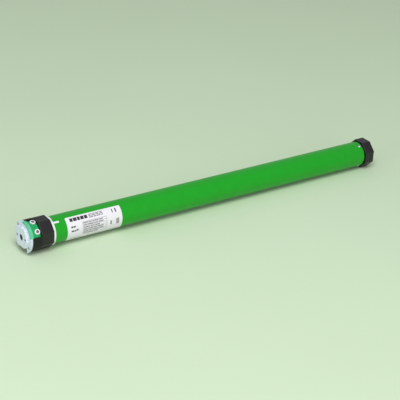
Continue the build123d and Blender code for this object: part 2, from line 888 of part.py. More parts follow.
def flatted(radius, flats):
    """Circle with two flats, for the shaft's end and the wheel's bore."""
    return Circle(radius) & Rectangle(flats, 2 * radius)


def make_output_shaft(start):
    shaft = disc(start, wheel_start, output_shaft_r)
    shaft += prism(wheel_start, wheel_end, flatted(output_shaft_r, output_flats))
    shaft -= disc(wheel_end - wheel_screw_length, wheel_end + overrun, wheel_screw_r)
    parts["output_shaft"] = shaft


# Drive wheel

def make_drive_wheel():
    body = prism(wheel_start, wheel_end, octagon(octagon_flats))
    ends = body.edges().filter_by(lambda edge: abs(edge.bounding_box().size.X) < edge_break)
    body = chamfer(ends, edge_break)
    hollow = RegularPolygon(
        octagon_flats / 2 - wheel_rim, 8, major_radius=False, rotation=360 / 16
    )
    web_start = wheel_start + wheel_web_inset
    body -= prism(wheel_start - overrun, web_start, hollow)
    body -= prism(web_start + wheel_web, wheel_end + overrun, hollow)
    body += disc(wheel_start, wheel_end, wheel_hub_r)
    rib_length = wheel_width - wheel_rim
    middle = (wheel_start + wheel_end) / 2
    for rib in range(wheel_ribs):
        angle = 360 * (rib + 0.5) / wheel_ribs
        high = (octagon_flats / 2 - wheel_rim / 2) / cos(pi / 8)
        low = wheel_hub_r - wheel_rim
        body += slab(middle, angle, low, high, rib_length, wheel_rib_t)
    bore = flatted(output_shaft_r, output_flats)
    body -= prism(wheel_start - overrun, wheel_end + overrun, bore)
    parts["drive_wheel"] = body

    start = wheel_end
    screw = ring(start, start + washer_t, washer_r, wheel_screw_r - overrun)
    head_end = start + washer_t + wheel_screw_head
    head = disc(start + washer_t, head_end, wheel_screw_head_r)
    head = chamfer(head.faces().sort_by(Axis.X)[-1].edges(), edge_break)
    key = RegularPolygon(wheel_key_flats / 2, 6, major_radius=False)
    head -= prism(head_end - wheel_key_depth, head_end + overrun, key)
    shank = disc(start - wheel_screw_length, start + washer_t, wheel_screw_r)
    parts["wheel_screw"] = screw + head + shank


def write_parts():
    for name, shape in parts.items():
        pieces = shape if isinstance(shape, list) else [shape]
        solids = [solid for piece in pieces for solid in piece.solids()]
        whole = solids[0] if len(solids) == 1 else Compound(solids)
        export_step(whole, f"parts/{name}.step")


make_tube()
make_head_plate()
make_collar()
make_adjuster_block()
for adjuster_name in adjuster_angles:
    make_adjuster(adjuster_name)
    make_switch_bar(adjuster_name)
make_cable_socket()
make_running_ring()
make_retaining_ring()
make_head_core()
make_limit_train()
make_electrical()
make_brake()
make_bell("rear", rear_bell_x)
make_bell("front", front_bell_x)
make_motor()
make_stages()
make_output_block()
make_drive_wheel()
write_parts()
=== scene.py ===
import bmesh
import bpy
import json
from math import acos, cos, degrees, pi, radians, sin, sqrt, tan
from mathutils import Euler, Matrix, Vector


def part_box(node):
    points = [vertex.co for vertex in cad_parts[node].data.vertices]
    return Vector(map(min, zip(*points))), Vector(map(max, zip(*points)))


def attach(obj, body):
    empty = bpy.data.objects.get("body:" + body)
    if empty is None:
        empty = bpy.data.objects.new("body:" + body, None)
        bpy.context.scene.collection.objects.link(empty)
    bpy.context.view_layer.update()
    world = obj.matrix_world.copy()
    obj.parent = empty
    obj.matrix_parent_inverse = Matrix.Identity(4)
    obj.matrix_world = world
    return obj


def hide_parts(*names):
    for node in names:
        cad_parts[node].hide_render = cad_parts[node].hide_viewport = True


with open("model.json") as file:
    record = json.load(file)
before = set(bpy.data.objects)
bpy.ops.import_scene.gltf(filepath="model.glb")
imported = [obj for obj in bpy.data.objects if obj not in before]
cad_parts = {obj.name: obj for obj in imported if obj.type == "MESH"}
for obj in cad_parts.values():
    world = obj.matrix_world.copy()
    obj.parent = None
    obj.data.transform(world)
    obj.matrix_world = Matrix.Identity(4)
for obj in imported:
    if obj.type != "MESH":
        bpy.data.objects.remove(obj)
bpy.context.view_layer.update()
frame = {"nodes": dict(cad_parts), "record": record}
NODES = frame["nodes"]

# Lengths of the part are in millimetres, and piece() turns them into metres. Camera and lamps are in metres.
# X runs from the head to the drive end. An angle round the axis is in degrees, zero on the front, -Y, and 90
# straight up.
MM = 0.001


def span(name):
    """Where a node starts and ends along the motor."""
    low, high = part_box(name)
    return low.x / MM, high.x / MM


def half_width(name):
    low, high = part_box(name)
    return (high.y - low.y) / 2 / MM


# Sides of a full circle, and the angles of a rounded corner
ROUND = 192
QUARTER = [pi / 2 * i / 6 for i in range(7)]

# Edges that turn by more degrees than these stay sharp and are bevelled
SMOOTH_SHARP = 32
CAST_SHARP = 35
MOULDED_SHARP = 38
KNOB_SHARP = 40

# Tube and label
TUBE_START, TUBE_END = span("motor_tube")
TUBE_R = half_width("motor_tube")
TUBE_WALL = 1.1
TUBE_OUTER_EDGE = 0.25
TUBE_INNER_EDGE = 0.15
LABEL_X = span("tube_label")
LABEL_PHI = (-75.0, 65.0)
LABEL_LOW_R = TUBE_R + 0.03
LABEL_TOP_R = TUBE_R + 0.15
LABEL_CORNER = 2.0
INK_SINK = 0.02
INK_RISE = 0.012

# Print on the label, in millimetres from the label's head end and degrees round the tube.
# A mark is start, end, low angle and high angle. A row of words is start, end, angle, height, the lengths of
# the words and which of them comes first.
WORD_GAP = 1.0
TITLE_ROW = (7.0, 40.0, 42.5, 15.0, (5.4, 6.6, 4.8, 6.2, 5.6), 0)
BOLD_MARKS = [(79.5, 81.5, -9, 8), (85.0, 86.6, 39, 56), (91.0, 93.2, 39, 56),
              (6.8, 10.4, 16.5, 23.0), (11.2, 14.8, 16.5, 23.0),
              (6.8, 11.6, -0.8, 5.6), (12.4, 15.2, -0.8, 5.6), (16.0, 19.6, 1.0, 7.6)]
TEXT_WORDS = (6.5, 4.2, 7.6, 5.0)
TEXT_ROWS = [(42.0, 71.0, 54.5, 3.6, TEXT_WORDS, 0), (42.0, 71.0, 48.0, 3.6, TEXT_WORDS, 1),
             (42.0, 71.0, 41.5, 3.6, TEXT_WORDS, 2), (7.0, 31.0, -38.5, 3.6, TEXT_WORDS, 1),
             (36.0, 100.0, -41.0, 2.2, TEXT_WORDS, 2)]
TABLE_START, TABLE_END = 28.0, 73.0
TABLE_TOP = 31.5
TABLE_PITCH = 9.5
TABLE_ROWS = 6
TABLE_WORDS = (9.0, 6.0, 11.5, 7.5)
TABLE_INDENT = 1.2
TABLE_WORD_RISE = 2.9
TABLE_WORD_HEIGHT = 3.7
RULE_HALF_PHI = 0.8
RULE_HALF_X = 0.3
PALE_MARK = (90.5, 96.0, -13, 13)
PATCH_STEP = 3

# Rivets. A point of their outlines is height over the tube, radius and fillet.
HEAD_RIVET_X = TUBE_START + 15.0
HEAD_RIVET_ANGLES = (150, 210, 270)
DRIVE_RIVET_X = TUBE_END - 3.8
DRIVE_RIVET_ANGLES = (62, 182, 302)
RIVET_DOME = [(0, 3.0, 0), (0.35, 3.0, 0.15), (1.0, 2.1, 0.35), (1.0, 0.85, 0.12), (0.45, 0.8, 0),
              (0.45, 0.01, 0), (-3.0, 0.01, 0), (-3.0, 1.55, 0), (0, 1.55, 0)]
RIVET_STEM = [(0.2, 0.62, 0), (0.72, 0.62, 0.15), (0.78, 0.01, 0), (0.2, 0.01, 0)]

# Head plate and star boss
BOSS_START, PLATE_END = span("head_plate")
PLATE_R = half_width("head_plate")
PLATE_FRONT_EDGE = 0.6
PLATE_BACK_EDGE = 0.5
STAR_R = 19.0
STAR_GROOVES = 10
STAR_GROOVE_R = 2.3
STAR_GROOVE_AT = STAR_R + 0.6
FIRST_GROOVE_ANGLE = 6.0
STAR_EDGE = 0.8
STAR_FLARE = 0.4
BORE_R = 5.0
BOLT_CIRCLE_R = 13.0
BOLT_R = 2.1
BOLT_ANGLES = (0, 180)
BLIND_DEPTH = 6.0
SCREW_CIRCLE_R = 23.0
SCREW_ANGLES = (135, 205, 330)
SCREW_R = 1.5
SCREW_HEAD_R = 2.8
SCREW_SINK = 1.7
SCREW_PLAY = 0.05
SCREW_END = 12.0
NOTCH_R = 23.5
WINDOW_PHI = (15.0, 96.0)
RECESS_HALF = 14.0
RECESS_TOP_R = 15.5

# Collar, adjuster block and adjusters
COLLAR_START, COLLAR_END = span("head_collar")
COLLAR_R = half_width("head_collar")
COLLAR_EDGE = 0.9
BLOCK_START, BLOCK_END = span("adjuster_block")
BLOCK_R = COLLAR_R - 0.2
BLOCK_INNER_R = 19.15
BLOCK_FLOOR_R = 24.0
BLOCK_RIM_END = 6.0
BLOCK_EDGE = 0.4
BLOCK_GAP = 0.03
BLOCK_PHI = (WINDOW_PHI[0] + 0.2, WINDOW_PHI[1] - 0.2)
ADJUSTER_X = sum(span("adjuster_up")) / 2
ADJUSTER_ANGLES = {"up": 79, "down": 36}
ADJUSTER_HEAD_R = 4.5
ADJUSTER_LOW = 24.15
ADJUSTER_TOP = 26.2
ADJUSTER_KEY_R = 2.3
ADJUSTER_KEY_DEPTH = 1.9
ADJUSTER_STEM_START = 10.0
ADJUSTER_STEM_REACH = 12.0
ADJUSTER_HOLE = [(18.0, 2.05), (25.0, 2.05)]

# Running ring and retaining ring
RING_START, RING_END = span("running_ring")
OCTAGON_R = half_width("running_ring")
OCTAGON_CORNER = 1.6
OCTAGON_LEAST_CORNER = 0.4
RING_EDGE = 0.95
RING_SKIN = 0.006
RETAINER_START, TAB_END = span("retaining_ring")
RETAINER_END = RETAINER_START + 3.5
RETAINER_R = half_width("retaining_ring")
RETAINER_INNER_R = TUBE_R + 0.17
RETAINER_EDGES = (0.35, 0.5, 0.1, 0.1)
TAB_PHI = 56
TAB_WIDTH = 3.2
TAB_LOW_R = TUBE_R + 0.04
TAB_TOP_R = TUBE_R + 0.92
TAB_START = RETAINER_END - 1.5
TAB_CORNER = 0.8

# Drive wheel and its screw
WHEEL_START, WHEEL_END = span("drive_wheel")
WHEEL_RIM = 2.6
WHEEL_EDGE = 0.9
WHEEL_INNER_EDGE = 0.3
WHEEL_HUB_R = 12.0
WHEEL_HUB_EDGE = 0.4
WEB_START = WHEEL_START + 6.0
WEB_END = WEB_START + 3.0
WEB_R = 23.8
RIB_T = 2.0
RIB_LOW = WHEEL_HUB_R - 1.3
SHAFT_R = 7.0
SHAFT_FLATS = 11.0
BOLT_END = span("wheel_screw")[1]
WASHER_END = WHEEL_END + 1.2
WASHER_R = 10.0
BOLT_HEAD_R = 4.5
BOLT_KEY_R = 2.31
BOLT_KEY_DEPTH = 1.8
BOLT_SHANK = [(WHEEL_END - 30, 5.0), (WHEEL_END + 0.01, 5.0)]

# Faces that lie this near to a recess's walls and floor take its painted shade
NEAR = 0.05

# Camera, as fitted to the photograph. It is aimed first and then turned round the motor's axis.
CAMERA_LENS = 126.0
CAMERA_SENSOR = 36.0
CAMERA_PLACE = (-0.9408, -1.7328, 1.0412)
CAMERA_AIM = (68.79, 0, -34.99)
CAMERA_TURN = -6

# Floor, world and lamps. A lamp is name, place, target, size and power.
FLOOR_HALF = 6000.0
WORLD_COLOUR = (0.95, 0.97, 1.0, 1.0)
WORLD_STRENGTH = 0.5
LAMPS = [("key", (-0.5, -1.1, 2.4), (0.35, 0, 0), 1.6, 42),
         ("side_fill", (-2.2, -0.7, 0.6), (0, 0, 0), 1.2, 12),
         ("front_fill", (-0.1, -2.6, 0.4), (0.35, 0, 0), 1.8, 22)]


def make_camera():
    data = bpy.data.cameras.new("camera")
    data.lens = CAMERA_LENS
    data.sensor_width = CAMERA_SENSOR
    camera = bpy.data.objects.new("camera", data)
    aim = Euler([radians(angle) for angle in CAMERA_AIM]).to_matrix()
    turned = Matrix.Rotation(radians(CAMERA_TURN), 3, "X") @ aim
    camera.location = CAMERA_PLACE
    camera.rotation_euler = turned.to_euler()
    bpy.context.collection.objects.link(camera)
    bpy.context.scene.camera = camera


# Materials

def node(tree, kind, **settings):
    made = tree.nodes.new(kind)
    for key, value in settings.items():
        setattr(made, key, value)
    return made


def noise(tree, scale, detail=2.0, stretch=None):
    """Noise in the object's own metres. Stretch lengthens its grain along one axis."""
    coords = node(tree, "ShaderNodeTexCoord")
    texture = node(tree, "ShaderNodeTexNoise")
    texture.inputs["Scale"].default_value = scale
    texture.inputs["Detail"].default_value = detail
    if stretch:
        mapping = node(tree, "ShaderNodeMapping")
        mapping.inputs["Scale"].default_value = stretch
        tree.links.new(coords.outputs["Object"], mapping.inputs["Vector"])
        tree.links.new(mapping.outputs["Vector"], texture.inputs["Vector"])
    else:
        tree.links.new(coords.outputs["Object"], texture.inputs["Vector"])
    return texture.outputs["Fac"]


def bands(tree, scale):
    """Fine bands across X, for windings and stacked sheets."""
    coords = node(tree, "ShaderNodeTexCoord")
    texture = node(tree, "ShaderNodeTexWave", wave_type="BANDS", bands_direction="X")
    texture.inputs["Scale"].default_value = scale
    texture.inputs["Distortion"].default_value = 0.4
    texture.inputs["Detail"].default_value = 1.0
    tree.links.new(coords.outputs["Object"], texture.inputs["Vector"])
    return texture.outputs["Fac"]


def remap(tree, value, low, high, start=0.3, end=0.7):
    ranged = node(tree, "ShaderNodeMapRange")
    ranged.inputs["From Min"].default_value = start
    ranged.inputs["From Max"].default_value = end
    ranged.inputs["To Min"].default_value = low
    ranged.inputs["To Max"].default_value = high
    tree.links.new(value, ranged.inputs["Value"])
    return ranged.outputs["Result"]


def linear(channel):
    """Channel of a screen colour, 0 to 255, as linear light."""
    channel /= 255
    return channel / 12.92 if channel <= 0.04045 else ((channel + 0.055) / 1.055) ** 2.4


def shade(colour, amount):
    return tuple(min(1.0, linear(c) * amount) for c in colour) + (1.0,)


def finish(name, colour, rough, metal=0.0, spread=0.06, patch=70, grain=1800, depth=0.008,
           rough_spread=0.05, coat=0.0, coat_rough=0.1, specular=0.5, line=None, line_share=0.3,
           stretch=None):
    """Material with mottled colour, uneven roughness and a fine surface grain."""
    material = bpy.data.materials.new(name)
    material.use_nodes = True
    tree = material.node_tree
    shader = tree.nodes["Principled BSDF"]
    shader.inputs["Metallic"].default_value = metal
    shader.inputs["Specular IOR Level"].default_value = specular
    shader.inputs["Coat Weight"].default_value = coat
    shader.inputs["Coat Roughness"].default_value = coat_rough
    mix = node(tree, "ShaderNodeMix", data_type="RGBA")
    mix.inputs["A"].default_value = shade(colour, 1 - spread)
    mix.inputs["B"].default_value = shade(colour, 1 + spread)
    tree.links.new(remap(tree, noise(tree, patch, 3.0, stretch), 0, 1), mix.inputs["Factor"])
    tinted = mix.outputs["Result"]
    fine = noise(tree, grain, 2.0, stretch)
    height = fine
    if line:
        stripes = bands(tree, line)
        darker = node(tree, "ShaderNodeMix", data_type="RGBA")
        darker.inputs["A"].default_value = shade(colour, 1 - line_share)
        tree.links.new(tinted, darker.inputs["B"])
        tree.links.new(remap(tree, stripes, 0, 1, 0.1, 0.6), darker.inputs["Factor"])
        tinted = darker.outputs["Result"]
        height = stripes
    tree.links.new(tinted, shader.inputs["Base Color"])
    tree.links.new(remap(tree, fine, rough - rough_spread, rough + rough_spread), shader.inputs["Roughness"])
    bump = node(tree, "ShaderNodeBump")
    bump.inputs["Strength"].default_value = 0.5
    bump.inputs["Distance"].default_value = depth * MM
    tree.links.new(height, bump.inputs["Height"])
    tree.links.new(bump.outputs["Normal"], shader.inputs["Normal"])
    return material


def make_materials():
    return {
        "tube_green": finish("green_paint", (8, 152, 20), 0.34, spread=0.03, grain=1100, depth=0.012,
                             coat=0.12, coat_rough=0.15, specular=0.35),
        "label_white": finish("label_film", (224, 220, 227), 0.42, spread=0.015, grain=4000, depth=0.003,
                              specular=0.3),
        "head_zinc": finish("cast_zinc", (214, 222, 236), 0.4, metal=0.3, spread=0.04, patch=160, grain=2600,
                            depth=0.008, rough_spread=0.06),
        "zinc_shadow": finish("cast_zinc_shadow", (88, 98, 116), 0.6, metal=0.2, spread=0.1, patch=160,
                              grain=2600),
        "black_plastic": finish("black_moulding", (11, 8, 9), 0.5, spread=0.12, grain=3200, depth=0.012,
                                specular=0.35),
        # Lighter copy of the black moulding for the running ring and the wheel, painted lighter for the light
        # on their facets
        "lit_black_octagon": finish("lit_black_octagon", (17, 14, 16), 0.36, spread=0.12, grain=2600, depth=0.014),
        "emerald_plastic": finish("emerald_moulding", (6, 158, 88), 0.34, spread=0.05, grain=3000,
                                  depth=0.008),
        # Lighter copy of the emerald moulding: painted light for the rim, which catches more light than the
        # bed
        "emerald_painted_light": finish("emerald_painted_light", (88, 182, 142), 0.5, spread=0.05, grain=2200,
                                  depth=0.015),
        "white_plastic": finish("white_moulding", (222, 224, 226), 0.4, spread=0.02, grain=3000, depth=0.006),
        "white_shadow": finish("white_moulding_shadow", (122, 114, 116), 0.6, spread=0.05, grain=3000),
        "grey_plastic": finish("grey_moulding", (112, 114, 118), 0.45, spread=0.05, grain=3000, depth=0.008),
        "steel": finish("steel", (188, 190, 196), 0.3, metal=1.0, spread=0.06, patch=200, grain=2500,
                        depth=0.006),
        "sintered_steel": finish("sintered_steel", (128, 126, 124), 0.46, metal=1.0, spread=0.08, patch=500,
                                 grain=5200, depth=0.01),
        "bronze": finish("bronze", (176, 128, 70), 0.4, metal=1.0, spread=0.08, patch=500, grain=4800,
                         depth=0.008),
        "copper": finish("copper_wire", (184, 92, 44), 0.3, metal=1.0, line=1400, depth=0.12),
        "core_steel": finish("core_sheets", (120, 122, 128), 0.42, metal=1.0, line=1000, line_share=0.4,
                             depth=0.05),
        "board": finish("board", (26, 96, 54), 0.5, spread=0.1, patch=900, grain=5000, depth=0.01),
        "capacitor_can": finish("capacitor_can", (206, 208, 212), 0.34, metal=0.85, stretch=(0.05, 1, 1),
                                spread=0.08, patch=300, depth=0.006),
        "lining": finish("brake_lining", (74, 66, 58), 0.8, spread=0.25, patch=1400, grain=4200, depth=0.03),
    }


def ink_materials():
    return {
        "dark": finish("ink_dark", (44, 44, 50), 0.4, spread=0.1, grain=5000, depth=0.002),
        "grey": finish("ink_grey", (104, 102, 108), 0.4, spread=0.08, grain=5000, depth=0.002),
        "pale": finish("ink_pale", (152, 148, 154), 0.4, spread=0.06, grain=5000, depth=0.002),
    }


# Mesh helpers

def at(x, radius, phi):
    angle = radians(phi)
    return Vector((x, -radius * cos(angle), radius * sin(angle)))


# Sections for a sweep: the outline round X at a given radius

def circle(radius, count=ROUND):
    return [(radius * cos(2 * pi * i / count), radius * sin(2 * pi * i / count)) for i in range(count)]


def sides(count):
    """Section that is a circle of so many sides."""
    return lambda radius: circle(radius, count)


def octagon(radius, arc=6):
    """Octagon that lies on a flat; its corners tighten as it shrinks."""
    corner = max(OCTAGON_CORNER - (OCTAGON_R - radius), OCTAGON_LEAST_CORNER)
    centre_r = (radius - corner) / cos(pi / 8)
    points = []
    for side in range(8):
        middle = pi / 8 + side * pi / 4
        for step in range(arc + 1):
            turn = side * pi / 4 + step * pi / 4 / arc
            points.append((centre_r * cos(middle) + corner * cos(turn),
                           centre_r * sin(middle) + corner * sin(turn)))
    return points


def star(radius, groove_steps=12, lobe_steps=10):
    """Round boss with rounded grooves along its side; the grooves widen as it shrinks."""
    groove = STAR_GROOVE_R + STAR_R - radius
    edge = acos((radius ** 2 + STAR_GROOVE_AT ** 2 - groove ** 2) / (2 * radius * STAR_GROOVE_AT))
    pitch = 2 * pi / STAR_GROOVES
    points = []
    for lobe in range(STAR_GROOVES):
        middle = pi - radians(FIRST_GROOVE_ANGLE) - lobe * pitch
        for step in range(groove_steps + 1):
            side = edge * (2 * step / groove_steps - 1)
            reach = STAR_GROOVE_AT * cos(side) - sqrt(max(0, groove ** 2 - (STAR_GROOVE_AT * sin(side)) ** 2))
            turn = middle - side
            points.append((reach * cos(turn), reach * sin(turn)))
        for step in range(1, lobe_steps):
            turn = middle - edge - (pitch - 2 * edge) * step / lobe_steps
            points.append((radius * cos(turn), radius * sin(turn)))
    return points


def fluted(radius, flutes=20, depth=0.12, count=160):
    points = []
    for i in range(count):
        turn = 2 * pi * i / count
        reach = radius - depth / 2 * (1 + cos(flutes * turn))
        points.append((reach * cos(turn), reach * sin(turn)))
    return points


def hexagon(radius):
    return [(radius * cos(pi / 3 * i), radius * sin(pi / 3 * i)) for i in range(6)]


def flatted(radius, steps=24):
    """Circle with a flat on each side, left and right."""
    span_angle = pi / 2 - acos(SHAFT_FLATS / 2 / radius)
    points = []
    for centre in (pi / 2, 3 * pi / 2):
        for step in range(steps + 1):
            turn = centre - span_angle + 2 * span_angle * step / steps
            points.append((radius * cos(turn), radius * sin(turn)))
    return points


# Shapes

def rounded(corners, steps=5):
    """Closed outline of (x, r, fillet) corners as points, with each fillet turned into an arc."""
    outline = []
    count = len(corners)
    for index, (x, r, fillet) in enumerate(corners):
        here = Vector((x, r))
        if not fillet:
            outline.append((x, r))
            continue
        before = (Vector(corners[index - 1][:2]) - here).normalized()
        after = (Vector(corners[(index + 1) % count][:2]) - here).normalized()
        half = acos(max(-1, min(1, before.dot(after)))) / 2
        centre = here + (before + after).normalized() * fillet / sin(half)
        start = here + before * fillet / tan(half) - centre
        end = here + after * fillet / tan(half) - centre
        turn = start.angle_signed(end)
        for step in range(steps + 1):
            angle = -turn * step / steps
            arm = Vector((start.x * cos(angle) - start.y * sin(angle),
                          start.x * sin(angle) + start.y * cos(angle)))
            outline.append(tuple(centre + arm))
    return outline


def sweep(mesh, outline, section=circle, closed=True):
    """Skin over sections that stand at each (x, r) of an outline. An open one is capped at both ends."""
    rings = []
    for x, r in outline:
        rings.append([mesh.verts.new((x, y, z)) for y, z in section(r)])
    count = len(rings[0])
    pairs = list(zip(rings, rings[1:] + rings[:1])) if closed else list(zip(rings, rings[1:]))
    for low, high in pairs:
        for i in range(count):
            j = (i + 1) % count
            mesh.faces.new((low[i], low[j], high[j], high[i]))
    if not closed:
        mesh.faces.new(rings[0])
        mesh.faces.new(rings[-1])


def raw(mesh):
    """Object in millimetres for cutting and joining."""
    bmesh.ops.recalc_face_normals(mesh, faces=mesh.faces)
    data = bpy.data.meshes.new("work")
    mesh.to_mesh(data)
    mesh.free()
    made = bpy.data.objects.new("work", data)
    bpy.context.collection.objects.link(made)
    return made


def swept(outline, section=circle, closed=True):
    mesh = bmesh.new()
    sweep(mesh, outline, section, closed)
    return raw(mesh)


def brick(x0, x1, y0, y1, z0, z1):
    mesh = bmesh.new()
    bmesh.ops.create_cube(mesh, size=1)
    bmesh.ops.scale(mesh, verts=mesh.verts, vec=(x1 - x0, y1 - y0, z1 - z0))
    bmesh.ops.translate(mesh, verts=mesh.verts, vec=((x0 + x1) / 2, (y0 + y1) / 2, (z0 + z1) / 2))
    return raw(mesh)


def arched(outline, phi0, phi1, steps=72):
    """Closed (x, r) outline carried round the motor's axis from one angle to another."""
    mesh = bmesh.new()
    rows = []
    for step in range(steps + 1):
        phi = phi0 + (phi1 - phi0) * step / steps
        rows.append([mesh.verts.new(at(x, r, phi)) for x, r in outline])
    for first, second in zip(rows, rows[1:]):
        for i in range(len(outline)):
            j = (i + 1) % len(outline)
            mesh.faces.new((first[i], first[j], second[j], second[i]))
    mesh.faces.new(rows[0])
    mesh.faces.new(rows[-1])
    return raw(mesh)


def radial_turn(x, phi, outline, section, closed=False):
    """Turned shape on an axis that stands out from the motor's; an outline point is (distance, radius)."""
    mesh = bmesh.new()
    sweep(mesh, outline, section, closed)
    out = at(0, 1, phi)
    along = Vector((1, 0, 0))
    side = out.cross(along)
    for vertex in mesh.verts:
        h, a, b = vertex.co
        vertex.co = Vector((x, 0, 0)) + out * h + along * a + side * b
    return raw(mesh)


def combine(body, tools, operation):
    """Cuts tools from a body, joins them to it or keeps what they share."""
    for tool in tools:
        change = body.modifiers.new("combine", "BOOLEAN")
        change.operation = operation
        change.solver = "EXACT"
        change.object = tool
    graph = bpy.context.evaluated_depsgraph_get()
    data = bpy.data.meshes.new_from_object(body.evaluated_get(graph))
    body.modifiers.clear()
    body.data = data
    for tool in tools:
        bpy.data.objects.remove(tool)
    return body


def cad_copy(name):
    """The solid's mesh in millimetres, as a start for a finer one."""
    mesh = bmesh.new()
    mesh.from_mesh(NODES[name].data)
    bmesh.ops.scale(mesh, verts=mesh.verts, vec=(1 / MM,) * 3)
    bmesh.ops.remove_doubles(mesh, verts=mesh.verts, dist=0.0005)
    return raw(mesh)


def spun(shape, turn_x):
    """Turns a work object round the X axis."""
    angle = radians(turn_x)
    for vertex in shape.data.vertices:
        x, y, z = vertex.co
        vertex.co = (x, y * cos(angle) - z * sin(angle), y * sin(angle) + z * cos(angle))
    return shape


def at_place(shape, radius, phi):
    """Moves a work object from the axis to its place on a circle."""
    offset = at(0, radius, phi)
    for vertex in shape.data.vertices:
        vertex.co += offset
    return shape


def joined(shapes):
    """One work object of several that stay apart."""
    mesh = bmesh.new()
    for shape in shapes:
        mesh.from_mesh(shape.data)
        bpy.data.objects.remove(shape)
    return raw(mesh)


def piece(shape, name, body, material, stands_for=(), bevel=0.0, sharp=SMOOTH_SHARP):
    """Turns a work object into a piece of the part."""
    shape.name = name
    shape.data.name = name
    for vertex in shape.data.vertices:
        vertex.co *= MM
    shape.data.materials.clear()
    shape.data.materials.append(material)
    for face in shape.data.polygons:
        face.material_index = 0
        face.use_smooth = True
    shape.data.set_sharp_from_angle(angle=radians(sharp))
    if bevel:
        edge = shape.modifiers.new("edges", "BEVEL")
        edge.width = bevel * MM
        edge.segments = 2
        edge.limit_method = "ANGLE"
        edge.angle_limit = radians(sharp)
        edge.harden_normals = True
    weighted = shape.modifiers.new("weighted", "WEIGHTED_NORMAL")
    weighted.keep_sharp = True
    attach(shape, body)
    if stands_for:
        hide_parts(*stands_for)
    return shape


def darkened(shape, material, inside):
    """Paints shade into a recess with a darker material; inside(place) tells whether a face in that place
    belongs to it.
    """
    shape.data.materials.append(material)
    for face in shape.data.polygons:
        if inside(face.center / MM):
            face.material_index = 1


# Tube, rivets and label

def make_tube():
    inner = TUBE_R - TUBE_WALL
    outline = rounded([(TUBE_START, TUBE_R, TUBE_OUTER_EDGE), (TUBE_END, TUBE_R, TUBE_OUTER_EDGE),
                       (TUBE_END, inner, TUBE_INNER_EDGE), (TUBE_START, inner, TUBE_INNER_EDGE)], 3)
    tube = swept(outline, sides(256))
    piece(tube, "tube_shell", "motor_body", MATERIALS["tube_green"], ["motor_tube"])


def make_rivets():
    """Blind rivets: a domed head with the broken stem in its middle."""
    places = [(HEAD_RIVET_X, phi) for phi in HEAD_RIVET_ANGLES]
    places += [(DRIVE_RIVET_X, phi) for phi in DRIVE_RIVET_ANGLES]
    dome = [(TUBE_R + h, r) for h, r in rounded(RIVET_DOME, 4)]
    stem = [(TUBE_R + h, r) for h, r in rounded(RIVET_STEM, 3)]
    rivets = []
    for x, phi in places:
        rivets.append(radial_turn(x, phi, dome, sides(40), closed=True))
        rivets.append(radial_turn(x, phi, stem, sides(24), closed=True))
    piece(joined(rivets), "blind_rivets", "motor_body", MATERIALS["steel"], ["tube_rivets"])


def curved_patch(mesh, x0, x1, phi0, phi1, low, high, corner=0.0, turns=None):
    """Thin sheet wrapped on the tube, with corners cut round."""
    turns = turns or max(1, round(abs(phi1 - phi0) / PATCH_STEP))
    phis = [phi0 + (phi1 - phi0) * i / turns for i in range(turns + 1)]
    if corner:
        reach = degrees(corner / high)
        ends = [reach * (1 - cos(angle)) for angle in QUARTER]
        inner = [phi for phi in phis if phi0 + reach < phi < phi1 - reach]
        phis = [phi0 + e for e in ends] + inner + [phi1 - e for e in reversed(ends)]
    rows = []
    for phi in phis:
        edge = radians(min(phi - phi0, phi1 - phi)) * high
        inset = corner - sqrt(max(0, corner ** 2 - (corner - edge) ** 2)) if edge < corner else 0
        rows.append([mesh.verts.new(at(x, r, phi)) for x, r in
                     ((x0 + inset, low), (x1 - inset, low), (x1 - inset, high), (x0 + inset, high))])
    for first, second in zip(rows, rows[1:]):
        for i in range(4):
            j = (i + 1) % 4
            mesh.faces.new((first[i], first[j], second[j], second[i]))
    mesh.faces.new(rows[0])
    mesh.faces.new(rows[-1])


def prints(name, ink, marks):
    """Ink on the label; a mark is (start, end) along the label and (low, high) angles."""
    mesh = bmesh.new()
    for start, end, phi0, phi1 in marks:
        curved_patch(mesh, LABEL_X[0] + start, LABEL_X[0] + end, phi0, phi1,
                     LABEL_TOP_R - INK_SINK, LABEL_TOP_R + INK_RISE)
    piece(raw(mesh), name, "motor_body", INKS[ink])


def word_bars(start, end, phi, height, lengths, first):
    """Row of short bars that stands for a line of print."""
    bars = []
    index = first
    while start + lengths[index % len(lengths)] <= end:
        length = lengths[index % len(lengths)]
        bars.append((start, start + length, phi, phi + height))
        start += length + WORD_GAP
        index += 1
    return bars


def make_label():
    """White film with generic bars, lines and a ruled table, and no lettering."""
    mesh = bmesh.new()
    curved_patch(mesh, *LABEL_X, *LABEL_PHI, LABEL_LOW_R, LABEL_TOP_R, corner=LABEL_CORNER, turns=96)
    piece(raw(mesh), "label_film", "motor_body", MATERIALS["label_white"], ["tube_label"])

    prints("label_bars_dark", "dark", word_bars(*TITLE_ROW) + BOLD_MARKS)

    lines = [bar for row in TEXT_ROWS for bar in word_bars(*row)]
    for row in range(TABLE_ROWS):
        end = TABLE_END - 1.0 - 3.0 * (row % 3)
        phi = TABLE_TOP - TABLE_PITCH * (row + 1) + TABLE_WORD_RISE
        lines += word_bars(TABLE_START + TABLE_INDENT, end, phi, TABLE_WORD_HEIGHT, TABLE_WORDS, row)
    prints("label_lines_grey", "grey", lines)

    heights = [TABLE_TOP - TABLE_PITCH * row for row in range(TABLE_ROWS + 1)]
    rules = [(TABLE_START, TABLE_END, phi - RULE_HALF_PHI, phi + RULE_HALF_PHI) for phi in heights]
    rules += [(x - RULE_HALF_X, x + RULE_HALF_X, heights[-1], heights[0]) for x in (TABLE_START, TABLE_END)]
    prints("label_rules_pale", "pale", rules + [PALE_MARK])


# Head

def bored(x0, depth, radius, lead=0.6, count=64):
    """Cutter for a blind hole with a short lead-in, from x0 inwards."""
    return swept([(x0 - 1.0, radius + lead), (x0, radius + lead), (x0 + lead, radius), (x0 + depth, radius)],
                 sides(count), closed=False)


